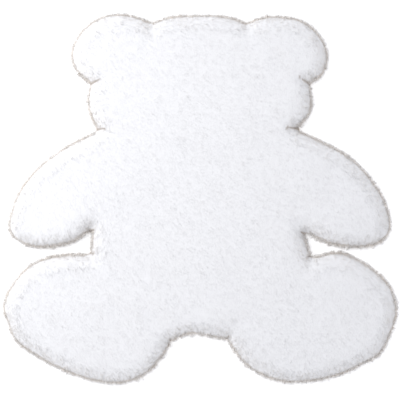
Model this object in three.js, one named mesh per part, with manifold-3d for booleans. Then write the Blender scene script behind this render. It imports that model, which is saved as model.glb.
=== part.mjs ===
// A bear shaped rug of white plush fur, lying flat: one slab as thick as the pile, with a flat
// underside, a rounded rim, soft lumps on top, a short crease at each notch, and locks round the rim.
// Millimetres. X runs across the rug, Y from feet to head, Z up, and the underside lies at Z = 0.

import * as THREE from "three";
import { ConvexHull } from "three/addons/math/ConvexHull.js";
import { mergeVertices } from "three/addons/utils/BufferGeometryUtils.js";
import Module from "manifold-3d";

// Driving sizes of the pile
const PILE_TOP = 27; // height of the pile away from the rim, before the lumps
const WAIST = 6; // height at which the rim is widest
const UNDERCUT = 3; // how far the underside stays inside the rim's widest line
const RIM = 32; // width of the rounded rim
const RIM_STEPS = [0, 0.13, 0.42, 1]; // rings of points, as shares of the rim's width

// Driving sizes of the locks, which lie level on the floor round the rim
const LOCK_PITCH = 18;
const LOCK_WIDTH = 21; // at its root, in the rim
const LOCK_HEIGHT = 12;
const LOCK_ROOT = 9; // length hidden in the rim
const LOCK_REACH = 3.5; // mean length past the slab, so that the locks end on the outline
const LOCK_CURL = 3; // how far a tip leans to one side
const LOCK_SPREAD = 0.5; // share by which the reach varies from lock to lock

// Side and height of a triangle whose corners lie on a circle of radius 1
const CONE_SIDE = Math.sqrt(3);
const CONE_RISE = 1.5;

// Spacing of the points that the slab is made of
const EDGE_PITCH = 14;
const FAN_PITCH = 8;
const FIELD_PITCH = 31;
const FIELD_JITTER = 4;

// The outline that the locks reach, counter-clockwise seen from above. Each row is a lobe or a bay:
// its smooth edge starts at a notch, passes through the points, and ends at the next row's notch.
const LOBES = [
  { lobe: "crown", notch: [107, 403], through: [[58, 418], [0, 420], [-66, 417]] },
  {
    lobe: "left ear",
    notch: [-109, 404],
    through: [[-161, 421], [-222, 417], [-274, 379], [-296, 327], [-284, 289]],
  },
  { lobe: "left cheek", notch: [-252, 259], through: [[-259, 226], [-254, 194]] },
  {
    lobe: "left arm",
    notch: [-238, 157],
    through: [[-329, 106], [-396, 44], [-430, -22], [-435, -76], [-396, -108], [-342, -113], [-280, -98]],
  },
  { lobe: "left side", notch: [-248, -72], through: [] },
  {
    lobe: "left leg",
    notch: [-252, -121],
    through: [
      [-323, -124], [-384, -145], [-434, -200], [-450, -247], [-438, -284], [-426, -318],
      [-358, -368], [-266, -409], [-187, -421], [-128, -405], [-80, -357],
    ],
  },
  { lobe: "crotch", notch: [-64, -328], through: [[-25, -309], [20, -315]] },
  {
    lobe: "right leg",
    notch: [59, -323],
    through: [
      [102, -379], [168, -414], [240, -418], [318, -402], [374, -376], [410, -355],
      [437, -303], [450, -259], [436, -199], [379, -145], [314, -117],
    ],
  },
  { lobe: "right side", notch: [256, -128], through: [] },
  {
    lobe: "right arm",
    notch: [240, -80],
    through: [[290, -104], [361, -113], [406, -104], [434, -74], [428, -18], [396, 41], [336, 102]],
  },
  { lobe: "right cheek", notch: [224, 159], through: [[251, 188], [258, 220]] },
  {
    lobe: "right ear",
    notch: [252, 259],
    through: [[283, 281], [293, 327], [278, 368], [234, 407], [178, 418], [139, 415]],
  },
];

// Creases of the pile, each running in from a notch where it is deepest
const CREASE = { length: 48, halfWidth: 7, depth: 8 };

// Soft lumps and hollows of the pile, scattered over the rug
const LUMPS = { count: 90, radius: 42, height: 1.8 };

// The outline as a closed ring of points, each with the direction into the rug. A notch has one
// point for each edge that meets there, so the directions fan out between the two.
function edgeOf(row, nextRow) {
  const stops = [row.notch, ...row.through, nextRow.notch];
  const curve = new THREE.CatmullRomCurve3(
    stops.map(([x, y]) => new THREE.Vector3(x, y, 0)),
    false,
    "centripetal",
  );
  const count = Math.max(2, Math.round(curve.getLength() / EDGE_PITCH));
  return curve.getSpacedPoints(count).map((point, i, points) => {
    const before = points[Math.max(i - 1, 0)];
    const after = points[Math.min(i + 1, count)];
    const inward = new THREE.Vector2(before.y - after.y, after.x - before.x).normalize();
    return { x: point.x, y: point.y, inward };
  });
}

const edges = LOBES.map((row, i) => edgeOf(row, LOBES[(i + 1) % LOBES.length]));
const outline = edges.flatMap((edge) => edge.slice(0, -1)).map(({ x, y }) => new THREE.Vector2(x, y));

// Distance from a point to the outline
function distanceToOutline(x, y) {
  let nearest = Infinity;
  outline.forEach((start, i) => {
    const end = outline[(i + 1) % outline.length];
    const dx = end.x - start.x;
    const dy = end.y - start.y;
    const along = ((x - start.x) * dx + (y - start.y) * dy) / (dx * dx + dy * dy);
    const share = THREE.MathUtils.clamp(along, 0, 1);
    nearest = Math.min(nearest, Math.hypot(x - start.x - share * dx, y - start.y - share * dy));
  });
  return nearest;
}

// Whether a point lies inside a closed ring
function isInside(x, y, ring) {
  let inside = false;
  ring.forEach((a, i) => {
    const b = ring[(i + 1) % ring.length];
    const crosses = a.y > y !== b.y > y;
    if (crosses && x < a.x + ((y - a.y) * (b.x - a.x)) / (b.y - a.y)) inside = !inside;
  });
  return inside;
}

// The directions that fan out round a notch, from one edge's own direction to the next one's
function fan(from, to, radius) {
  const turn = Math.atan2(from.x * to.y - from.y * to.x, from.dot(to));
  const steps = Math.max(1, Math.ceil((Math.abs(turn) * radius) / FAN_PITCH));
  const start = Math.atan2(from.y, from.x);
  return Array.from({ length: steps + 1 }, (_, i) => {
    const angle = start + (turn * i) / steps;
    return new THREE.Vector2(Math.cos(angle), Math.sin(angle));
  });
}

// A ring of points at one distance inside the outline, fanned out at the notches
function ringAt(distance) {
  const ring = [];
  edges.forEach((edge, i) => {
    const next = edges[(i + 1) % edges.length];
    const corner = edge.at(-1);
    const round = fan(corner.inward, next[0].inward, distance);
    edge.slice(1, -1).forEach((spot) => ring.push(spot));
    round.forEach((inward) => ring.push({ x: corner.x, y: corner.y, inward }));
  });
  return ring
    .map(({ x, y, inward }) => ({ x: x + distance * inward.x, y: y + distance * inward.y, inward }))
    .filter(({ x, y }) => distanceToOutline(x, y) > distance - 0.1);
}

// Places, widths and heights of the lumps and hollows
function scatterLumps() {
  const box = new THREE.Box2().setFromPoints(outline);
  THREE.MathUtils.seededRandom(5);
  const between = (low, high) => low + (high - low) * THREE.MathUtils.seededRandom();
  return Array.from({ length: LUMPS.count }, () => ({
    x: between(box.min.x, box.max.x),
    y: between(box.min.y, box.max.y),
    radius: LUMPS.radius * between(0.6, 1.4),
    height: LUMPS.height * between(-1, 1),
  }));
}

const lumps = scatterLumps();

// Depth of the creases at a point of the rug
function creaseDepth(x, y) {
  let depth = 0;
  edges.forEach((edge, i) => {
    const corner = edge[0];
    const inward = edges.at(i - 1).at(-1).inward.clone().add(corner.inward).normalize();
    const along = (x - corner.x) * inward.x + (y - corner.y) * inward.y;
    const across = (y - corner.y) * inward.x - (x - corner.x) * inward.y;
    const fade = THREE.MathUtils.clamp(1 - along / CREASE.length, 0, 1);
    if (along > 0) depth += CREASE.depth * fade * Math.exp(-((across / CREASE.halfWidth) ** 2));
  });
  return depth;
}

// Height of the pile over a point of the rug
function pileHeight(x, y) {
  const share = THREE.MathUtils.clamp((distanceToOutline(x, y) - LOCK_REACH) / RIM, 0, 1);
  const round = Math.sqrt(1 - (1 - share) ** 2);
  const swell = lumps.reduce((sum, lump) => {
    const away = Math.hypot(x - lump.x, y - lump.y) / lump.radius;
    return sum + lump.height * Math.exp(-(away ** 2));
  }, 0);
  return Math.max(WAIST, WAIST + (PILE_TOP - WAIST + swell) * round - creaseDepth(x, y));
}

// Points spread evenly over the field inside the rim, each a little off its place
function fieldPoints() {
  const points = [];
  const rise = FIELD_PITCH * Math.sin(Math.PI / 3);
  const clear = LOCK_REACH + RIM + FIELD_PITCH / 2;
  const box = new THREE.Box2().setFromPoints(outline);
  THREE.MathUtils.seededRandom(7);
  for (let row = 0, y = box.min.y; y < box.max.y; row += 1, y += rise) {
    for (let x = box.min.x + (row % 2) * (FIELD_PITCH / 2); x < box.max.x; x += FIELD_PITCH) {
      const px = x + FIELD_JITTER * (THREE.MathUtils.seededRandom() - 0.5);
      const py = y + FIELD_JITTER * (THREE.MathUtils.seededRandom() - 0.5);
      if (isInside(px, py, outline) && distanceToOutline(px, py) > clear) points.push({ x: px, y: py });
    }
  }
  return points;
}

// Triangles between points of a plane: the underside of their hull once they are lifted to a bowl
function triangulate(points) {
  const scale = 1 / outline.reduce((most, { x, y }) => Math.max(most, Math.hypot(x, y)), 0);
  const lifted = points.map(({ x, y }) => {
    return new THREE.Vector3(x * scale, y * scale, (x * x + y * y) * scale * scale);
  });
  const place = new Map(lifted.map((point, i) => [point, i]));
  const hull = new ConvexHull().setFromPoints(lifted);
  return hull.faces
    .filter((face) => face.normal.z < 0)
    .map((face) => [0, 1, 2].map((i) => place.get(face.getEdge(i).head().point)).reverse());
}

// A closed geometry as a solid that can be joined to others
function toManifold(wasm, geometry) {
  geometry.deleteAttribute("normal");
  geometry.deleteAttribute("uv");
  const merged = mergeVertices(geometry);
  const vertProperties = new Float32Array(merged.attributes.position.array);
  const triVerts = new Uint32Array(merged.index.array);
  return new wasm.Manifold(new wasm.Mesh({ numProp: 3, vertProperties, triVerts }));
}

// The slab: pile on top, a wall that turns under the rim, and the flat underside
function slabGeometry() {
  const rim = ringAt(LOCK_REACH);
  const rings = RIM_STEPS.slice(1).flatMap((share) => ringAt(LOCK_REACH + share * RIM));
  const top = [...rim, ...rings, ...fieldPoints()];
  const under = rim.map(({ x, y, inward }) => {
    return new THREE.Vector2(x + UNDERCUT * inward.x, y + UNDERCUT * inward.y);
  });
  const positions = [
    ...top.flatMap(({ x, y }, i) => [x, y, i < rim.length ? WAIST : pileHeight(x, y)]),
    ...under.flatMap(({ x, y }) => [x, y, 0]),
  ];
  const pile = triangulate(top).filter((corners) => {
    const x = corners.reduce((sum, i) => sum + top[i].x, 0) / 3;
    const y = corners.reduce((sum, i) => sum + top[i].y, 0) / 3;
    return isInside(x, y, rim);
  });
  const wall = rim.flatMap((_, i) => {
    const j = (i + 1) % rim.length;
    const [low, nextLow] = [top.length + i, top.length + j];
    return [[i, low, nextLow], [i, nextLow, j]];
  });
  const base = THREE.ShapeUtils.triangulateShape(under, []).map((corners) => {
    return corners.map((i) => top.length + i).reverse();
  });
  const geometry = new THREE.BufferGeometry();
  geometry.setAttribute("position", new THREE.Float32BufferAttribute(positions, 3));
  geometry.setIndex([...pile, ...wall, ...base].flat());
  return geometry;
}

// A lock of three sides that lies level on the floor, wide and high in the rim, thin at its tip.
// It is a cone of three sides laid down, and fuller than a cone between its root and its tip.
function lockGeometry(spot, { width, reach, curl }) {
  const lock = new THREE.ConeGeometry(1, 1, 3, 2);
  const place = lock.attributes.position;
  for (let i = 0; i < place.count; i += 1) {
    const share = place.getY(i) + 0.5;
    const fuller = share < 1 ? 1 / Math.sqrt(1 - share) : 0;
    const aboveFloor = place.getZ(i) + (1 - share) / 2;
    const along = share * (LOCK_ROOT + reach) - LOCK_ROOT;
    const side = (place.getX(i) / CONE_SIDE) * fuller * width + curl * share ** 2;
    const up = Math.max(0, (aboveFloor / CONE_RISE) * fuller * LOCK_HEIGHT);
    const x = spot.x - along * spot.inward.x - side * spot.inward.y;
    const y = spot.y - along * spot.inward.y + side * spot.inward.x;
    place.setXYZ(i, x, y, up);
  }
  return lock;
}

// Places for the locks, evenly along the slab's rim
function lockSpots() {
  const rim = ringAt(LOCK_REACH);
  const spots = [];
  let since = 0;
  rim.forEach((spot, i) => {
    const next = rim[(i + 1) % rim.length];
    const step = Math.hypot(next.x - spot.x, next.y - spot.y);
    for (; since < step; since += LOCK_PITCH) {
      const share = since / step;
      const x = spot.x + share * (next.x - spot.x);
      const y = spot.y + share * (next.y - spot.y);
      spots.push({ x, y, inward: spot.inward.clone().lerp(next.inward, share).normalize() });
    }
    since -= step;
  });
  return spots;
}

// The slab and its locks, joined into one body
function rugGeometry(wasm) {
  let rug = toManifold(wasm, slabGeometry());
  THREE.MathUtils.seededRandom(21);
  const vary = () => 2 * THREE.MathUtils.seededRandom() - 1;
  for (const spot of lockSpots()) {
    const size = {
      width: LOCK_WIDTH * (1 + 0.2 * vary()),
      reach: LOCK_REACH * (1 + LOCK_SPREAD * vary()),
      curl: LOCK_CURL * vary(),
    };
    rug = rug.add(toManifold(wasm, lockGeometry(spot, size)));
  }
  const mesh = rug.getMesh();
  const geometry = new THREE.BufferGeometry();
  geometry.setAttribute("position", new THREE.BufferAttribute(mesh.vertProperties, 3));
  geometry.setIndex(new THREE.BufferAttribute(mesh.triVerts, 1));
  geometry.computeVertexNormals();
  return geometry;
}

const wasm = await Module();
wasm.setup();

const fur = new THREE.MeshStandardMaterial({ color: 0xf1f1f4, roughness: 0.95, metalness: 0 });
const rug = new THREE.Mesh(rugGeometry(wasm), fur);
rug.name = "fur_rug";

const group = new THREE.Group();
group.add(rug);
export default group;
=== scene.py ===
"""A bear shaped rug of white plush fur, lying flat and seen from straight above.

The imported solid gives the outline, the height and the folds of the pile. Round it this script makes
what shows: a thin backing cloth, the dense pile on it, and the hairs of the fur. They are short under
hair, longer guard hair, and thick locks at the rim, all gathered into tufts. All sizes are in metres.
"""

import logging
import math
from collections.abc import Iterator
from dataclasses import dataclass, field
from enum import Enum

import bmesh
import bpy
import numpy as np
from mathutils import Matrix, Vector
from mathutils.kdtree import KDTree

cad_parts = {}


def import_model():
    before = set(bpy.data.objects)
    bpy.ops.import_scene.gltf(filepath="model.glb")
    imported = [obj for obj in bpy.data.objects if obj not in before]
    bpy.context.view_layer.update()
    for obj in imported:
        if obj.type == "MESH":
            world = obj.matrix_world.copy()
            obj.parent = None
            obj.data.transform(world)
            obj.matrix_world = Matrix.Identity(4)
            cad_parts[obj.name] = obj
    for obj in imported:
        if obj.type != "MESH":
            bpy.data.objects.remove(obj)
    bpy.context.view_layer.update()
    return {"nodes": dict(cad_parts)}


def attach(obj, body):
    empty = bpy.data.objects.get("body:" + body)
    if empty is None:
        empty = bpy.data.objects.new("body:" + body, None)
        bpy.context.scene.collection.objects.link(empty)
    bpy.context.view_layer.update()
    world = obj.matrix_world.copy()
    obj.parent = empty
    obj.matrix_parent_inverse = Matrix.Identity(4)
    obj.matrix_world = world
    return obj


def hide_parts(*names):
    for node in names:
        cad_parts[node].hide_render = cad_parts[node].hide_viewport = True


LOG = logging.getLogger("bear_rug")

NODE = "fur_rug"
BODY = "root"
PARTING = "parting"  # the pile's own attribute: how near a parting is, which places the painted shade of the partings
HAIR_MAP = "OFBake"  # across: the hair's tone, with painted shade at rim and partings; up: root to tip, for the painted root shade
SEED = 11
CLOTH_ROUGHNESS = 0.9
CLOTH_SHINE = 0.15
LOWEST_FACING = -0.35  # hairs grow where the skin faces up at least this much
LEVEL = (1.0, 1.0, 0.0)  # what a place or a way is multiplied by to lie level

Colour = tuple[float, float, float]


class Hair(Enum):
    """The kinds of hair in the fur."""

    UNDER = "under_hair"
    GUARD = "guard_hair"
    RIM = "rim_lock"


class Shade:
    """A shader socket that can be used in Python sums, each adding its Math node."""

    def __init__(self, paint: "Paint", socket: bpy.types.NodeSocket) -> None:
        """Wraps a socket.

        Args:
            paint: The material that the socket belongs to.
            socket: The output that holds the value.
        """
        self.paint = paint
        self.socket = socket

    def _math(self, operation: str, first: "Shade | float", second: "Shade | float") -> "Shade":
        """Adds a Math node.

        Args:
            operation: The node's operation.
            first: The first value.
            second: The second value.

        Returns:
            The node's result.
        """
        return self.paint.node("ShaderNodeMath", {"operation": operation}, {0: first, 1: second})

    def __add__(self, other: "Shade | float") -> "Shade":
        """Returns the sum."""
        return self._math("ADD", self, other)

    def __radd__(self, other: float) -> "Shade":
        """Returns the sum, with a number on the left."""
        return self._math("ADD", other, self)

    def __sub__(self, other: "Shade | float") -> "Shade":
        """Returns the difference."""
        return self._math("SUBTRACT", self, other)

    def __rsub__(self, other: float) -> "Shade":
        """Returns the difference, with a number on the left."""
        return self._math("SUBTRACT", other, self)

    def __mul__(self, other: "Shade | float") -> "Shade":
        """Returns the product."""
        return self._math("MULTIPLY", self, other)

    def __rmul__(self, other: float) -> "Shade":
        """Returns the product, with a number on the left."""
        return self._math("MULTIPLY", other, self)

    def __pow__(self, other: "Shade | float") -> "Shade":
        """Returns the power."""
        return self._math("POWER", self, other)


class Paint:
    """A material and its nodes, with a Principled surface."""

    def __init__(self, name: str) -> None:
        """Starts a material.

        Args:
            name: The material's name.
        """
        self.material = bpy.data.materials.new(name)
        self.material.use_nodes = True
        self.tree = self.material.node_tree
        self.surface = next(n for n in self.tree.nodes if n.type == "BSDF_PRINCIPLED")

    def put(self, socket: bpy.types.NodeSocket, value: object) -> None:
        """Links or sets a socket.

        Args:
            socket: The input to fill.
            value: A Shade to link, or a plain value to set.
        """
        if isinstance(value, Shade):
            self.tree.links.new(value.socket, socket)
        else:
            socket.default_value = value

    def node(
        self, kind: str, settings: dict[str, object], values: dict[int | str, object], out: int | str = 0
    ) -> Shade:
        """Adds a node.

        Args:
            kind: The node's type.
            settings: The node's own settings, set first.
            values: What its inputs hold, by name or number.
            out: The output wanted, by name or number.

        Returns:
            That output.
        """
        made = self.tree.nodes.new(kind)
        for key, value in settings.items():
            setattr(made, key, value)
        for key, value in values.items():
            self.put(made.inputs[key], value)
        return Shade(self, made.outputs[out])

    def place(self) -> Shade:
        """Returns a point's place on the piece, in metres."""
        return self.node("ShaderNodeTexCoord", {}, {}, "Object")

    def noise(self, scale: float, detail: float, stretch: Colour = (1.0, 1.0, 1.0)) -> Shade:
        """Adds a noise on the piece's own place.

        Args:
            scale: Bumps to the metre.
            detail: Finer layers of the noise.
            stretch: How much finer it is along each axis.

        Returns:
            The noise, about 0.5 on average.
        """
        where = self.node("ShaderNodeMapping", {}, {"Vector": self.place(), "Scale": stretch})
        values = {"Vector": where, "Scale": scale, "Detail": detail}
        return self.node("ShaderNodeTexNoise", {}, values, "Fac")

    def mix(self, share: Shade, first: object, second: object) -> Shade:
        """Mixes two colours.

        Args:
            share: How much of the second colour.
            first: The first colour.
            second: The second colour.

        Returns:
            The mixed colour.
        """
        whole = [self._rgba(c) for c in (first, second)]
        return self.node("ShaderNodeMix", {"data_type": "RGBA"}, {0: share, 6: whole[0], 7: whole[1]}, 2)

    def tint(self, colour: Shade, by: Shade) -> Shade:
        """Multiplies a colour by a number.

        Args:
            colour: The colour.
            by: The number.

        Returns:
            The colour, made lighter or darker.
        """
        return self.node("ShaderNodeVectorMath", {"operation": "SCALE"}, {0: colour, "Scale": by}, "Vector")

    def clamped(self, value: Shade) -> Shade:
        """Holds a value between 0 and 1.

        Args:
            value: The value.

        Returns:
            The value, held.
        """
        return self.node("ShaderNodeClamp", {}, {"Value": value})

    def bump(self, height: Shade, distance: float) -> None:
        """Roughens the surface.

        Args:
            height: The height, from 0 to 1.
            distance: The height that 1 stands for, in metres.
        """
        made = self.node("ShaderNodeBump", {}, {"Height": height, "Distance": distance, "Strength": 1.0})
        self.put(self.surface.inputs["Normal"], made)

    def cloth(self, sheen: float, sheen_roughness: float) -> None:
        """Sets what all the cloth finishes share, and their sheen.

        Args:
            sheen: The weight of the sheen.
            sheen_roughness: The roughness of the sheen.
        """
        inputs = self.surface.inputs
        inputs["Roughness"].default_value = CLOTH_ROUGHNESS
        inputs["Specular IOR Level"].default_value = CLOTH_SHINE
        inputs["Sheen Weight"].default_value = sheen
        inputs["Sheen Roughness"].default_value = sheen_roughness

    @staticmethod
    def _rgba(colour: object) -> object:
        """Returns a plain colour with its alpha, and a linked one as it is."""
        return colour if isinstance(colour, Shade) else (*colour, 1.0)


@dataclass(frozen=True)
class HairFinish:
    """White hair with painted shade: warmer and darker towards its root, the more so the lower the hair's
    tone is.
    """

    tip: Colour = (0.93, 0.935, 0.945)
    # Painted shade, warm and dark, at the hairs' roots.
    root: Colour = (0.86, 0.76, 0.65)
    root_shade_share: float = 1.8
    tone_range: float = 0.05

    def make(self) -> bpy.types.Material:
        """Makes the material.

        Returns:
            The material, which reads the hairs' own map.
        """
        paint = Paint("plush_hair")
        where = paint.node("ShaderNodeUVMap", {"uv_map": HAIR_MAP}, {})
        tone = paint.node("ShaderNodeSeparateXYZ", {}, {0: where}, "X")
        along = paint.node("ShaderNodeSeparateXYZ", {}, {0: where}, "Y")
        # Painted shade: the hair darkens towards its root, and further up where its tone is low, as at the
        # rim and partings.
        shaded = paint.mix(along ** (self.root_shade_share * (1.0 - tone)), self.root, self.tip)
        colour = paint.tint(shaded, tone * self.tone_range + (1.0 - self.tone_range / 2))
        paint.put(paint.surface.inputs["Base Color"], colour)
        paint.cloth(sheen=0.25, sheen_roughness=0.4)
        return paint.material


@dataclass(frozen=True)
class PileFinish:
    """The dense pile between the hairs: off-white and mottled, with painted shade, tan low down at its base
    and brown in the partings.
    """

    light: Colour = (0.92, 0.92, 0.935)
    dark: Colour = (0.88, 0.875, 0.88)
    # Painted shade: the tan of the pile's lowest part.
    foot_shade: Colour = (0.88, 0.80, 0.71)
    # Painted shade: the brown of the partings.
    crease_shade: Colour = (0.36, 0.30, 0.25)
    foot_shade_height: float = 0.011
    foot_shade_reach: float = 1.15
    mottle: float = 28.0
    fibres: float = 900.0
    fibre_stretch: Colour = (1.0, 0.45, 1.0)
    fibre_depth: float = 0.0005

    def make(self) -> bpy.types.Material:
        """Makes the material.

        Returns:
            The material, which reads the place on the piece.
        """
        paint = Paint("plush_pile")
        mottle = paint.noise(self.mottle, 3.0)
        fibres = paint.noise(self.fibres, 2.0, self.fibre_stretch)
        colour = paint.mix(mottle * 0.5 + fibres * 0.5, self.dark, self.light)
        height = paint.node("ShaderNodeSeparateXYZ", {}, {0: paint.place()}, "Z")
        parting = paint.node("ShaderNodeAttribute", {"attribute_name": PARTING}, {}, "Fac")
        # Painted shade, tan, low on the pile where the fur shades it.
        foot_shade = paint.clamped(self.foot_shade_reach - height * (1.0 / self.foot_shade_height))
        colour = paint.mix(foot_shade, colour, self.foot_shade)
        # Painted shade, brown, in the partings.
        colour = paint.mix(parting, colour, self.crease_shade)
        paint.put(paint.surface.inputs["Base Color"], colour)
        paint.put(paint.surface.inputs["Roughness"], 0.8 + 0.15 * fibres)
        paint.bump(fibres, self.fibre_depth)
        paint.cloth(sheen=0.2, sheen_roughness=0.4)
        return paint.material


@dataclass(frozen=True)
class BackingFinish:
    """Plain woven backing cloth, greige, a thread about every millimetre, with painted shade between the
    threads.
    """

    light: Colour = (0.62, 0.59, 0.54)
    dark: Colour = (0.46, 0.43, 0.39)
    thread_pitch: float = 0.0011
    thread_depth: float = 0.0004
    wear: float = 14.0

    def make(self) -> bpy.types.Material:
        """Makes the material.

        Returns:
            The material, which reads the place on the piece.
        """
        paint = Paint("woven_backing")
        place = paint.place()
        turns = 2 * math.pi / self.thread_pitch
        across = paint.node("ShaderNodeSeparateXYZ", {}, {0: place}, "X")
        along = paint.node("ShaderNodeSeparateXYZ", {}, {0: place}, "Y")
        warp = self._wave(paint, across * turns)
        weft = self._wave(paint, along * turns)
        weave = paint.node("ShaderNodeMath", {"operation": "MAXIMUM"}, {0: warp, 1: weft})
        wear = paint.noise(self.wear, 4.0)
        # The weave's colour is partly painted shade: darker where the weave is low, between the threads,
        # and lighter on their crests.
        colour = paint.mix(weave * 0.6 + wear * 0.4, self.dark, self.light)
        paint.put(paint.surface.inputs["Base Color"], colour)
        paint.put(paint.surface.inputs["Roughness"], 0.98 - 0.12 * weave)
        paint.bump(weave, self.thread_depth)
        paint.cloth(sheen=0.1, sheen_roughness=0.6)
        return paint.material

    @staticmethod
    def _wave(paint: Paint, angle: Shade) -> Shade:
        """Adds a wave between 0 and 1.

        Args:
            paint: The material.
            angle: The wave's angle.

        Returns:
            The wave.
        """
        return 0.5 + 0.5 * paint.node("ShaderNodeMath", {"operation": "SINE"}, {0: angle})


@dataclass(frozen=True)
class FloorFinish:
    """A plain pale studio floor, lit a little from below as a light table is."""

    colour: Colour = (0.97, 0.97, 0.97)
    glow: float = 0.34

    def make(self) -> bpy.types.Material:
        """Makes the material.

        Returns:
            The material.
        """
        paint = Paint("studio_floor")
        paint.put(paint.surface.inputs["Base Color"], (*self.colour, 1.0))
        paint.surface.inputs["Roughness"].default_value = 0.95
        paint.surface.inputs["Specular IOR Level"].default_value = 0.0
        paint.surface.inputs["Emission Color"].default_value = (1.0, 1.0, 1.0, 1.0)
        paint.surface.inputs["Emission Strength"].default_value = self.glow
        return paint.material


def add_piece(name: str, mesh: bpy.types.Mesh, material: bpy.types.Material) -> bpy.types.Object:
    """Adds a piece of the rug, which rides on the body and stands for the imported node.

    Args:
        name: The piece's name.
        mesh: Its mesh.
        material: Its finish.

    Returns:
        The piece.
    """
    piece = bpy.data.objects.new(name, mesh)
    bpy.context.scene.collection.objects.link(piece)
    mesh.name = name
    mesh.materials.clear()
    mesh.materials.append(material)
    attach(piece, BODY)
    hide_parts(NODE)
    return piece


def column(
    values: bpy.types.bpy_prop_collection, key: str, width: int, kind: type = np.float32
) -> np.ndarray:
    """Reads one property of every element of a mesh.

    Args:
        values: The mesh's elements.
        key: The property.
        width: How many numbers it has.
        kind: The numbers' type.

    Returns:
        An array with a row for each element.
    """
    flat = np.empty(len(values) * width, kind)
    values.foreach_get(key, flat)
    return flat.reshape(-1, width)


@dataclass
class Skin:
    """The outer surface of the fur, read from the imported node, remeshed evenly and smoothed.

    Attributes:
        node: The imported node's object.
        voxel: The size of the remeshed faces.
        smoothings: How often the remeshed surface is smoothed.
    """

    node: bpy.types.Object
    voxel: float = 0.004
    smoothings: int = 2

    def mesh(self, sink: float = 0.0, floor: float = 0.0, sideways: float = 1.0) -> bpy.types.Mesh:
        """Makes the surface, or one a little inside or outside it.

        Args:
            sink: How far inside, along the surface's own directions. Less than nothing is outside.
            floor: The height of its flat underside.
            sideways: The share of the sink that counts sideways.

        Returns:
            A closed mesh.
        """
        solid = bmesh.new()
        solid.from_mesh(self.node.data)
        bmesh.ops.remove_doubles(solid, verts=solid.verts, dist=1e-5)
        remeshed = self._remeshed(solid)
        solid.clear()
        solid.from_mesh(remeshed)
        for _ in range(self.smoothings):
            bmesh.ops.smooth_vert(
                solid, verts=solid.verts, factor=0.5, use_axis_x=True, use_axis_y=True, use_axis_z=True
            )
        solid.normal_update()
        scale = Vector((sink * sideways, sink * sideways, sink))
        moves = [scale * Vector((v.normal.x, v.normal.y, max(v.normal.z, 0.0))) for v in solid.verts]
        for vertex, move in zip(solid.verts, moves):
            vertex.co -= move
            vertex.co.z = max(vertex.co.z, floor)
        for face in solid.faces:
            face.smooth = True
        solid.to_mesh(remeshed)
        solid.free()
        return remeshed

    def _remeshed(self, solid: bmesh.types.BMesh) -> bpy.types.Mesh:
        """Remeshes a solid into even faces.

        Args:
            solid: The solid.

        Returns:
            The new mesh.
        """
        rough = bpy.data.meshes.new("skin")
        solid.to_mesh(rough)
        holder = bpy.data.objects.new("skin", rough)
        bpy.context.scene.collection.objects.link(holder)
        remesh = holder.modifiers.new("remesh", "REMESH")
        remesh.mode = "VOXEL"
        remesh.voxel_size = self.voxel
        seen = holder.evaluated_get(bpy.context.evaluated_depsgraph_get())
        made = bpy.data.meshes.new_from_object(seen)
        bpy.data.objects.remove(holder)
        bpy.data.meshes.remove(rough)
        return made


@dataclass
class Roots:
    """Places on the skin where hairs grow.

    Attributes:
        place: Each hair's place on the skin.
        normal: The skin's direction there.
    """

    place: np.ndarray
    normal: np.ndarray

    @classmethod
    def scattered(cls, skin: bpy.types.Mesh, count: int, seed: int) -> "Roots":
        """Scatters hairs evenly over a skin, but for its underside.

        Args:
            skin: The skin's mesh.
            count: How many hairs, about.
            seed: The seed of the scatter.

        Returns:
            The hairs' places.
        """
        draw = np.random.default_rng(seed)
        skin.calc_loop_triangles()
        points = column(skin.vertices, "co", 3)
        normals = column(skin.vertices, "normal", 3)
        corners = column(skin.loop_triangles, "vertices", 3, np.int32)
        spans = points[corners]
        area = np.linalg.norm(np.cross(spans[:, 1] - spans[:, 0], spans[:, 2] - spans[:, 0]), axis=1) / 2
        area[normals[corners].mean(1)[:, 2] < LOWEST_FACING] = 0.0
        due = area * count / area.sum()
        times = np.floor(due + draw.random(len(due))).astype(int)
        chosen = np.repeat(np.arange(len(due)), times)
        one, two = draw.random((2, len(chosen), 1))
        one, two = np.where(one + two > 1, 1 - one, one), np.where(one + two > 1, 1 - two, two)
        shares = np.stack([1 - one - two, one, two], axis=1)
        place = (spans[chosen] * shares).sum(1)
        normal = (normals[corners[chosen]] * shares).sum(1)
        normal /= np.linalg.norm(normal, axis=1, keepdims=True)
        return cls(place, normal)

    def thinned(self, keep: np.ndarray) -> "Roots":
        """Keeps some of the hairs.

        Args:
            keep: Which ones.

        Returns:
            Those hairs' places.
        """
        return Roots(self.place[keep], self.normal[keep])


def unit(vectors: np.ndarray) -> np.ndarray:
    """Scales vectors to length 1."""
    return vectors / np.maximum(np.linalg.norm(vectors, axis=1, keepdims=True), 1e-9)


@dataclass
class Strand:
    """One hair as a small closed mesh of three sides, which the coat copies.

    Attributes:
        bends: Whether it has a ring of points half way up, so that it can bend.
    """

    bends: bool

    def arrays(self) -> tuple[np.ndarray, np.ndarray, np.ndarray]:
        """Makes the hair.

        Returns:
            Its points (two across, one from root to tip), the corners of its faces, and each face's size.
        """
        hair = bmesh.new()
        bmesh.ops.create_cone(
            hair, cap_ends=True, cap_tris=False, segments=3, radius1=1.0, radius2=0.0, depth=1.0
        )
        bmesh.ops.translate(hair, verts=hair.verts, vec=(0.0, 0.0, 0.5))
        bmesh.ops.remove_doubles(hair, verts=hair.verts, dist=1e-5)
        if self.bends:
            rising = [e for e in hair.edges if abs(e.verts[0].co.z - e.verts[1].co.z) > 0.5]
            bmesh.ops.subdivide_edges(hair, edges=rising, cuts=1)
        bmesh.ops.recalc_face_normals(hair, faces=hair.faces)
        hair.verts.index_update()
        points = np.array([v.co for v in hair.verts])
        corners = np.array([v.index for f in hair.faces for v in f.verts])
        sizes = np.array([len(f.verts) for f in hair.faces])
        hair.free()
        return points, corners, sizes


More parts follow.
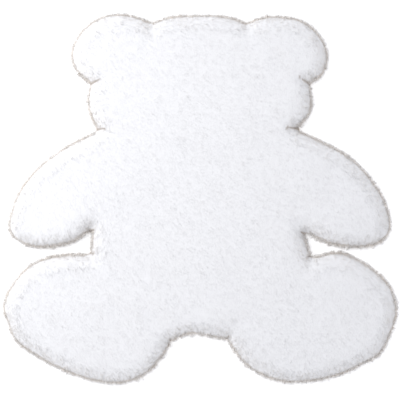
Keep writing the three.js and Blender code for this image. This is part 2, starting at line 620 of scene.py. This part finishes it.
@dataclass
class Edge:
    """The rug's edge, and how the fur rises inside it.

    Attributes:
        skin: The skin's mesh.
        band: How far in from the edge the fur still turns outwards.
        steepest: How far up the skin may face at the edge.
        highest: How high the edge may lie.
        fall: How fast the fur falls past the edge.
    """

    skin: bpy.types.Mesh
    band: float = 0.034
    steepest: float = 0.35
    highest: float = 0.012
    fall: float = 0.3
    tree: KDTree = field(init=False)
    rim: np.ndarray = field(init=False)
    steps: np.ndarray = field(init=False)
    rises: np.ndarray = field(init=False)

    def __post_init__(self) -> None:
        """Finds the edge and measures the rise."""
        points = column(self.skin.vertices, "co", 3)
        normals = column(self.skin.vertices, "normal", 3)
        steep = np.abs(normals[:, 2]) < self.steepest
        self.rim = points[steep & (points[:, 2] < self.highest)] * LEVEL
        self.tree = KDTree(len(self.rim))
        for i, place in enumerate(self.rim):
            self.tree.insert(place, i)
        self.tree.balance()
        top = points[normals[:, 2] > 0.1][::4]
        away = self.gap(top)[0]
        self.steps = np.linspace(0.0, self.band, 12)
        bins = np.digitize(away, self.steps + self.steps[1] / 2)
        self.rises = np.array([top[bins == k, 2].mean() for k in range(len(self.steps))])

    def gap(self, places: np.ndarray) -> tuple[np.ndarray, np.ndarray]:
        """Measures how far the edge is.

        Args:
            places: The places.

        Returns:
            The distance of each to the edge, and the level way to it.
        """
        found = np.array([self.tree.find(place)[1] for place in places * LEVEL])
        way = self.rim[found] - places * LEVEL
        return np.linalg.norm(way, axis=1), way

    def rise(self, away: np.ndarray) -> np.ndarray:
        """Looks up the fur's height at a distance from the edge.

        Args:
            away: The distance, less than nothing outside the edge.

        Returns:
            The height.
        """
        return np.interp(away, self.steps, self.rises) + self.fall * np.minimum(away, 0.0)


@dataclass(frozen=True)
class Nap:
    """The way that the fur is brushed, slowly turning over the rug, and parted at each notch.

    Attributes:
        partings: Where the fur parts: from the notch, to where the parting ends, each across and along.
        parted: How far from a parting the hairs lean away from it.
        taper: How much wider than parted it is at the notch, from where it narrows by parted.
        lean: How far the hairs lean away at the parting's middle.
    """

    partings: tuple[tuple[float, float, float, float], ...] = (
        (-0.252, 0.259, -0.222, 0.272),
        (0.252, 0.259, 0.224, 0.274),
        (-0.238, 0.157, -0.212, 0.160),
        (0.224, 0.159, 0.196, 0.162),
        (-0.248, -0.072, -0.236, -0.069),
        (0.240, -0.080, 0.224, -0.073),
        (-0.252, -0.121, -0.240, -0.124),
        (0.256, -0.128, 0.242, -0.131),
        (-0.064, -0.328, -0.070, -0.311),
        (0.059, -0.323, 0.066, -0.306),
        (-0.109, 0.404, -0.104, 0.394),
        (0.107, 0.403, 0.102, 0.393),
    )
    parted: float = 0.007
    taper: float = 1.25
    lean: float = 0.7

    def flow(self, place: np.ndarray, outward: np.ndarray, rim: np.ndarray) -> np.ndarray:
        """Works out the level way that the hairs lean.

        Args:
            place: The places on the skin.
            outward: The level way to the edge.
            rim: How near the edge is, from 0 to 1.

        Returns:
            The way at each place, about 1 long.
        """
        across, along = place[:, 0], place[:, 1]
        turn = -1.15 + 0.3 * np.sin(6.0 * across + 2.0) + 0.25 * np.sin(8.0 * along + 4.0 * across)
        brushed = np.stack([np.cos(turn), np.sin(turn), 0.0 * turn], axis=1)
        aside, near = self.aside(place)
        return (brushed * (1.0 - rim) + outward * rim) * (1.0 - near) + self.lean * aside * near

    def brush_shading(self, place: np.ndarray) -> np.ndarray:
        """Works out the painted light and shade of the brush marks, which run down to the right.

        Args:
            place: The places on the skin.

        Returns:
            How much lighter or darker the fur is painted at each, from -1 to 1.
        """
        across, along = place[:, 0], place[:, 1]
        wave = 62.0 * (across + along) + 2.0 * np.sin(13.0 * across - 9.0 * along)
        wave += 1.5 * np.sin(31.0 * along)
        return np.sin(wave) * (0.5 + 0.5 * np.sin(9.0 * across + 17.0 * along + 1.0))

    def aside(self, place: np.ndarray) -> tuple[np.ndarray, np.ndarray]:
        """Finds the way out of the nearest parting.

        Args:
            place: The places on the skin.

        Returns:
            The level direction away from the parting, and how near it is, from 0 to 1.
        """
        away = np.zeros_like(place)
        near = np.zeros((len(place), 1))
        for x0, y0, x1, y1 in self.partings:
            start, run = np.array([x0, y0]), np.array([x1 - x0, y1 - y0])
            share = np.clip(((place[:, :2] - start) @ run) / (run @ run), 0.0, 1.0)
            gap = place[:, :2] - start - share[:, None] * run
            size = np.linalg.norm(gap, axis=1, keepdims=True)
            close = np.clip(1.0 - size / (self.parted * (self.taper - share[:, None])), 0.0, 1.0)
            away[:, :2] = np.where(close > near, gap / np.maximum(size, 1e-6), away[:, :2])
            near = np.maximum(near, close)
        return away, near


@dataclass
class Tufts:
    """The tufts that the hairs gather into.

    Attributes:
        count: How many.
        skin: The skin they stand on.
        scatter: How far a tuft leans out of line.
    """

    count: int
    skin: bpy.types.Mesh
    scatter: float = 0.16
    roots: Roots = field(init=False)
    sways: np.ndarray = field(init=False)
    tones: np.ndarray = field(init=False)
    overs: np.ndarray = field(init=False)
    tree: KDTree = field(init=False)

    def __post_init__(self) -> None:
        """Scatters the tufts."""
        self.roots = Roots.scattered(self.skin, self.count, SEED)
        draw = np.random.default_rng(SEED + 1)
        many = len(self.roots.place)
        self.sways = draw.normal(0.0, self.scatter, (many, 3)) * LEVEL
        self.tones = draw.random(many)
        self.overs = draw.normal(0.0, 1.0, many)
        self.tree = KDTree(many)
        for i, place in enumerate(self.roots.place):
            self.tree.insert(place, i)
        self.tree.balance()

    def nearest(self, places: np.ndarray) -> np.ndarray:
        """Finds each place's tuft.

        Args:
            places: The places.

        Returns:
            The tufts' numbers.
        """
        return np.array([self.tree.find(place)[1] for place in places])


@dataclass
class Coat:
    """All the hairs of one kind.

    Attributes:
        kind: The kind of hair.
        count: How many hairs, about, if they grew everywhere.
        pieces: How many pieces they are joined into, from the head to the feet.
        depth: How far under the skin a hair starts.
        proud: How far past the skin it ends.
        reach: How far a hair reaches over the skin, in the field.
        reach_at_rim: How far it does near the edge.
        over: How far the hairs end past the skin's edge, at the most.
        width: Half a hair's width at its root.
        gather: How far the hairs of a tuft draw together at their tips, as a share, in the field.
        gather_at_rim: How far they do near the edge.
        arch: How far a hair arches up, as a share of its length.
        tone: The hair's tone in the field, before painted shade darkens it towards the rim and the
            partings.
        tone_spread: How far the tufts' tones lie apart.
        within: How far from the edge this hair grows, ever thinner.
        thinning: How late it thins out on the way there.
        ruffle: How far the tufts' ends at the edge lie apart, everywhere.
        ruffle_below: How much farther they do where the edge faces the feet.
        short_near: How far from the edge hairs end less far past it.
        short_share: How far past it they end at the edge itself, as a share.
        highest_rise: How far a tip may lie above its root's height.
        sway: How far a hair leans out of its tuft's line.
        scatter: How far a tip lies from where it should.
        painted_shade_at_rim: How much painted shade darkens the tone at the rim.
        painted_shade_at_parting: How much painted shade darkens it at a parting.
        brush_shading_weight: How much the painted light and shade of the brush marks change it.
        tone_scatter: How far the hairs' own tones lie apart.
    """

    kind: Hair
    count: int
    pieces: int
    depth: float
    proud: float
    reach: float
    reach_at_rim: float
    over: float
    width: float
    gather: float
    gather_at_rim: float
    arch: float
    tone: float = 0.86
    tone_spread: float = 0.1
    within: float = math.inf
    thinning: float = 1.5
    ruffle: float = 0.0008
    ruffle_below: float = 0.0018
    short_near: float = 0.006
    short_share: float = 0.7
    highest_rise: float = 0.002
    sway: float = 0.12
    scatter: float = 0.0006
    painted_shade_at_rim: float = 0.4
    painted_shade_at_parting: float = 0.5
    brush_shading_weight: float = 0.08
    tone_scatter: float = 0.05
    strand: Strand = field(init=False)

    def __post_init__(self) -> None:
        """Chooses the hair's shape."""
        self.strand = Strand(bends=self.kind is not Hair.UNDER)

    def grow(
        self, skin: bpy.types.Mesh, edge: Edge, nap: Nap, tufts: Tufts, material: bpy.types.Material
    ) -> Iterator[bpy.types.Object]:
        """Grows the hairs.

        Args:
            skin: The skin they grow through.
            edge: The rug's edge.
            nap: The way that they are brushed.
            tufts: The tufts they gather into.
            material: Their finish.

        Yields:
            Each finished piece.
        """
        seed = SEED + 10 * (1 + list(Hair).index(self.kind))
        roots = Roots.scattered(skin, self.count, seed)
        share = edge.gap(roots.place)[0] / self.within
        roots = roots.thinned(np.random.default_rng(seed).random(len(share)) > share**self.thinning)
        hearts, _ = self._tips(tufts.roots, tufts.sways, tufts.overs, edge, nap)
        order = np.argsort(-roots.place[:, 1])
        for number, chosen in enumerate(np.array_split(order, self.pieces), 1):
            some = roots.thinned(chosen)
            lines = self._lines(some, edge, nap, tufts, hearts, np.random.default_rng(seed + number))
            name = f"{self.kind.value}_{number}"
            yield add_piece(name, self._mesh(lines, np.random.default_rng(seed - number)), material)

    def _tips(
        self, roots: Roots, sways: np.ndarray, overs: np.ndarray, edge: Edge, nap: Nap
    ) -> tuple[np.ndarray, np.ndarray]:
        """Works out where hairs end.

        Args:
            roots: Their places on the skin.
            sways: How far each leans out of line.
            overs: How far each ends past its fellows at the edge, about between -2 and 2.
            edge: The rug's edge.
            nap: The way that they are brushed.

        Returns:
            The tips, and how near the edge each is, from 0 to 1.
        """
        away, way = edge.gap(roots.place)
        outward = unit(way + 0.004 * roots.normal * LEVEL)
        rim = np.clip(1.0 - away / edge.band, 0.0, 1.0)[:, None]
        rim = rim * rim * (3.0 - 2.0 * rim)
        flow = nap.flow(roots.place, outward, rim) + sways
        reach = self.reach + (self.reach_at_rim - self.reach) * rim[:, 0]
        ruffle = self.ruffle + self.ruffle_below * np.clip(0.5 - outward[:, 1], 0.0, 1.0)
        over = (self.over + ruffle * overs) * np.clip(away / self.short_near, self.short_share, 1.0)
        reach = np.minimum(reach, away + over)[:, None]
        left = away - reach[:, 0] * (flow * outward).sum(1)
        drop = edge.rise(left) - edge.rise(away)
        tips = roots.place + reach * flow + self.proud * roots.normal
        tips[:, 2] += np.minimum(drop, self.highest_rise)
        return tips, rim

    def _lines(
        self,
        roots: Roots,
        edge: Edge,
        nap: Nap,
        tufts: Tufts,
        hearts: np.ndarray,
        draw: np.random.Generator,
    ) -> tuple[np.ndarray, ...]:
        """Works out where the hairs run.

        Args:
            roots: The hairs' places on the skin.
            edge: The rug's edge.
            nap: The way that the hairs are brushed.
            tufts: The tufts.
            hearts: Where each tuft's own tip is.
            draw: The random draws.

        Returns:
            Each hair's start, its end, its bend, and its tone.
        """
        many = len(roots.place)
        tuft = tufts.nearest(roots.place)
        start = roots.place - self.depth * roots.normal
        start[:, 2] = np.maximum(start[:, 2], 0.002)
        sways = tufts.sways[tuft] + draw.normal(0.0, self.sway, (many, 3)) * LEVEL
        end, rim = self._tips(roots, sways, tufts.overs[tuft] + draw.normal(0.0, 0.5, many), edge, nap)
        end += draw.normal(0.0, self.scatter, (many, 3))
        end += (self.gather + (self.gather_at_rim - self.gather) * rim) * (hearts[tuft] - end)
        end[:, 2] = np.maximum(end[:, 2], 0.0006 + 0.002 * draw.random(many))
        length = np.linalg.norm(end - start, axis=1, keepdims=True)
        bend = self.arch * length * roots.normal + draw.normal(0.0, 0.0003, (many, 3))
        near = nap.aside(roots.place)[1][:, 0]
        # Painted shade: the tone falls at the rim and at the partings, and the brush marks paint it lighter
        # and darker.
        tone = self.tone - self.painted_shade_at_rim * rim[:, 0] - self.painted_shade_at_parting * near
        tone = tone + self.tone_spread * (tufts.tones[tuft] - 0.5)
        tone += self.brush_shading_weight * nap.brush_shading(roots.place)
        tone += draw.normal(0.0, self.tone_scatter, many)
        return start, end, bend, np.clip(tone, 0.03, 0.97)

    def _mesh(self, lines: tuple[np.ndarray, ...], draw: np.random.Generator) -> bpy.types.Mesh:
        """Copies the hair's shape along each line.

        Args:
            lines: Each hair's start, its end, its bend, and its tone.
            draw: The random draws.

        Returns:
            One mesh with all the hairs.
        """
        start, end, bend, tone = lines
        shape, corners, sizes = self.strand.arrays()
        many, points = len(start), len(shape)
        side = unit(np.cross(end - start, draw.normal(0.0, 1.0, (many, 3))))
        other = unit(np.cross(end - start, side))
        along = shape[:, 2]
        fuller = np.where(along < 1.0, (1.0 - along * 0.55) / np.maximum(1.0 - along, 0.5), 0.0)
        width = self.width * draw.uniform(0.8, 1.2, (many, 1, 1))
        line = start[:, None] + (end - start)[:, None] * along[None, :, None]
        line = line + bend[:, None] * (4 * along * (1 - along))[None, :, None]
        place = line + width * fuller[None, :, None] * (
            side[:, None] * shape[None, :, :1] + other[:, None] * shape[None, :, 1:2]
        )
        place[:, :, 2] = np.maximum(place[:, :, 2], 0.0002)
        faces = (corners[None, :] + points * np.arange(many)[:, None]).ravel()
        # up runs from root to tip and sets the painted shade at the root; across carries the tone, with its
        # painted shade at the rim and partings.
        up = 0.02 + 0.94 * along + 0.015 * shape[:, 1]
        across = tone[:, None] + 0.02 * shape[None, :, 0]
        spread = np.stack([across, np.broadcast_to(up, across.shape)], axis=2)
        mesh = bpy.data.meshes.new(self.kind.value)
        mesh.vertices.add(many * points)
        mesh.vertices.foreach_set("co", place.astype(np.float32).ravel())
        mesh.loops.add(len(faces))
        mesh.loops.foreach_set("vertex_index", faces.astype(np.int32))
        whole = np.tile(sizes, many)
        mesh.polygons.add(len(whole))
        mesh.polygons.foreach_set("loop_start", (np.cumsum(whole) - whole).astype(np.int32))
        hair_map = mesh.uv_layers.new(name=HAIR_MAP)
        hair_map.uv.foreach_set("vector", spread.reshape(-1, 2)[faces].astype(np.float32).ravel())
        mesh.update(calc_edges=True)
        mesh.polygons.foreach_set("use_smooth", np.ones(len(whole), bool))
        mesh.validate()
        return mesh


@dataclass
class Rug:
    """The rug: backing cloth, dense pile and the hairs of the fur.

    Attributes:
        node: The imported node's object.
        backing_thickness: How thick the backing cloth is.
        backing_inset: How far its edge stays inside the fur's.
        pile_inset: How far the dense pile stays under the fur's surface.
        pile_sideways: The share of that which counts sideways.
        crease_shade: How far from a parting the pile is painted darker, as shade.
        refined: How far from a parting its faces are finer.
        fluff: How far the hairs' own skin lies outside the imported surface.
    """

    node: bpy.types.Object
    backing_thickness: float = 0.0018
    backing_inset: float = 0.006
    pile_inset: float = 0.0013
    pile_sideways: float = 0.3
    crease_shade: float = 0.0056
    refined: float = 0.012
    fluff: float = 0.0010

    def build(self) -> None:
        """Makes and dresses every piece of the rug."""
        skin = Skin(self.node).mesh(sink=-self.fluff)
        backing = self._backing()
        LOG.info("backing: %d faces", len(backing.data.polygons))
        pile = self._pile()
        LOG.info("pile: %d faces", len(pile.data.polygons))
        edge, nap = Edge(skin), Nap()
        wide, fine = Tufts(5200, skin), Tufts(9000, skin)
        finish = HairFinish().make()
        for coat in self._coats():
            tufts = fine if coat.kind is Hair.RIM else wide
            for piece in coat.grow(skin, edge, nap, tufts, finish):
                LOG.info("%s: %d faces", piece.name, len(piece.data.polygons))

    def _coats(self) -> list[Coat]:
        """Lists the kinds of hair.

        Returns:
            The coats, shortest first.
        """
        under = Coat(
            Hair.UNDER, count=84_000, pieces=3, depth=0.006, proud=0.0, reach=0.006, reach_at_rim=0.006,
            over=0.0026, width=0.00024, gather=0.08, gather_at_rim=0.25, arch=0.0,
        )
        guard = Coat(
            Hair.GUARD, count=33_600, pieces=3, depth=0.006, proud=0.0004, reach=0.008, reach_at_rim=0.011,
            over=0.0038, width=0.00022, gather=0.12, gather_at_rim=0.40, arch=0.12,
        )
        rim = Coat(
            Hair.RIM, count=112_000, pieces=2, depth=0.006, proud=0.0010, reach=0.010, reach_at_rim=0.016,
            over=0.0046, width=0.00042, gather=0.10, gather_at_rim=0.34, arch=0.14, tone=0.90,
            tone_spread=0.1, within=0.036,
        )
        return [under, guard, rim]

    def _backing(self) -> bpy.types.Object:
        """Makes the backing cloth, cut a little smaller than the fur.

        Returns:
            The piece.
        """
        mesh = Skin(self.node, voxel=0.006).mesh(sink=self.backing_inset)
        cloth = bmesh.new()
        cloth.from_mesh(mesh)
        everything = [*cloth.verts, *cloth.edges, *cloth.faces]
        cut = bmesh.ops.bisect_plane(
            cloth, geom=everything, plane_co=(0.0, 0.0, self.backing_thickness), plane_no=(0.0, 0.0, 1.0),
            clear_outer=True,
        )
        rim = [e for e in cut["geom_cut"] if isinstance(e, bmesh.types.BMEdge)]
        bmesh.ops.contextual_create(cloth, geom=rim)
        bmesh.ops.dissolve_limit(
            cloth, angle_limit=math.radians(2.0), verts=cloth.verts, edges=cloth.edges
        )
        bmesh.ops.triangulate(cloth, faces=[f for f in cloth.faces if len(f.verts) > 4])
        bmesh.ops.recalc_face_normals(cloth, faces=cloth.faces)
        for face in cloth.faces:
            face.smooth = False
        cloth.to_mesh(mesh)
        cloth.free()
        return add_piece("backing_cloth", mesh, BackingFinish().make())

    def _pile(self) -> bpy.types.Object:
        """Makes the dense pile that stands on the backing.

        Returns:
            The piece.
        """
        skin = Skin(self.node, voxel=0.0075)
        mesh = skin.mesh(self.pile_inset, self.backing_thickness, self.pile_sideways)
        self._refine(mesh, Nap(parted=self.refined))
        # How near a parting each point is, which places the painted shade of the partings.
        near = Nap(parted=self.crease_shade).aside(column(mesh.vertices, "co", 3))[1]
        shade = mesh.attributes.new(PARTING, "FLOAT", "POINT")
        shade.data.foreach_set("value", near.astype(np.float32).ravel())
        return add_piece("dense_pile", mesh, PileFinish().make())

    @staticmethod
    def _refine(mesh: bpy.types.Mesh, nap: Nap) -> None:
        """Makes a mesh's faces finer near the partings.

        Args:
            mesh: The mesh.
            nap: The nap, whose partings count.
        """
        pile = bmesh.new()
        pile.from_mesh(mesh)
        near = nap.aside(column(mesh.vertices, "co", 3))[1][:, 0] > 0
        edges = [e for e in pile.edges if near[e.verts[0].index] and near[e.verts[1].index]]
        bmesh.ops.subdivide_edges(pile, edges=edges, cuts=3, use_grid_fill=True)
        bmesh.ops.triangulate(pile, faces=[f for f in pile.faces if len(f.verts) > 4])
        pile.to_mesh(mesh)
        pile.free()


@dataclass
class Studio:
    """The floor, the lights and the camera.

    Attributes:
        frame_width: How much of the floor the picture is wide, at the rug's height.
        centre: The point that the camera looks down on.
        lens: The camera's focal length, in millimetres.
        sensor: The camera's sensor width, in millimetres.
        key_place: Where the one lamp stands, to the left and a little towards the head.
        key_size: Its side.
        key_power: Its power, in watts.
        air_colour: The colour of the light from all round.
        air_strength: The strength of that light.
        floor_gap: How far under the rug the floor lies, so that the two don't share a plane.
        floor_reach: Half the floor's side.
    """

    frame_width: float = 0.9075
    centre: tuple[float, float, float] = (0.0001, -0.0022, 0.008)
    lens: float = 100.0
    sensor: float = 36.0
    key_place: tuple[float, float, float] = (-1.25, 0.55, 1.15)
    key_size: float = 0.8
    key_power: float = 14.5
    air_colour: Colour = (0.95, 0.96, 1.0)
    air_strength: float = 0.83
    floor_gap: float = 0.0004
    floor_reach: float = 15.0

    def build(self) -> None:
        """Makes the floor, lights and camera."""
        self._floor()
        self._lamp()
        world = bpy.data.worlds.new("studio_air")
        bpy.context.scene.world = world
        world.use_nodes = True
        air = next(n for n in world.node_tree.nodes if n.type == "BACKGROUND")
        air.inputs["Color"].default_value = (*self.air_colour, 1.0)
        air.inputs["Strength"].default_value = self.air_strength
        self._camera()
        bpy.context.scene.view_settings.view_transform = "Standard"

    def _floor(self) -> None:
        """Makes the plain pale floor."""
        plane = bmesh.new()
        bmesh.ops.create_grid(plane, x_segments=1, y_segments=1, size=self.floor_reach)
        mesh = bpy.data.meshes.new("floor")
        plane.to_mesh(mesh)
        plane.free()
        floor = bpy.data.objects.new("floor", mesh)
        floor.location.z = -self.floor_gap
        bpy.context.scene.collection.objects.link(floor)
        mesh.materials.append(FloorFinish().make())

    def _lamp(self) -> None:
        """Makes the soft square lamp, which faces the rug."""
        lamp = bpy.data.lights.new("key_light", "AREA")
        lamp.shape = "SQUARE"
        lamp.size = self.key_size
        lamp.energy = self.key_power
        holder = bpy.data.objects.new("key_light", lamp)
        bpy.context.scene.collection.objects.link(holder)
        holder.location = self.key_place
        holder.rotation_euler = (-Vector(self.key_place)).to_track_quat("-Z", "Y").to_euler()

    def _camera(self) -> None:
        """Makes the camera, straight above the rug."""
        data = bpy.data.cameras.new("camera")
        data.lens = self.lens
        data.sensor_width = self.sensor
        holder = bpy.data.objects.new("camera", data)
        bpy.context.scene.collection.objects.link(holder)
        away = self.frame_width * self.lens / self.sensor
        holder.location = Vector(self.centre) + Vector((0.0, 0.0, away))
        bpy.context.scene.camera = holder


def main() -> None:
    """Builds the rug and the studio."""
    logging.basicConfig(level=logging.INFO, format="%(message)s")
    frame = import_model()
    Studio().build()
    LOG.info("studio: floor, lights, camera")
    Rug(frame["nodes"][NODE]).build()


if __name__ == "__main__":
    main()
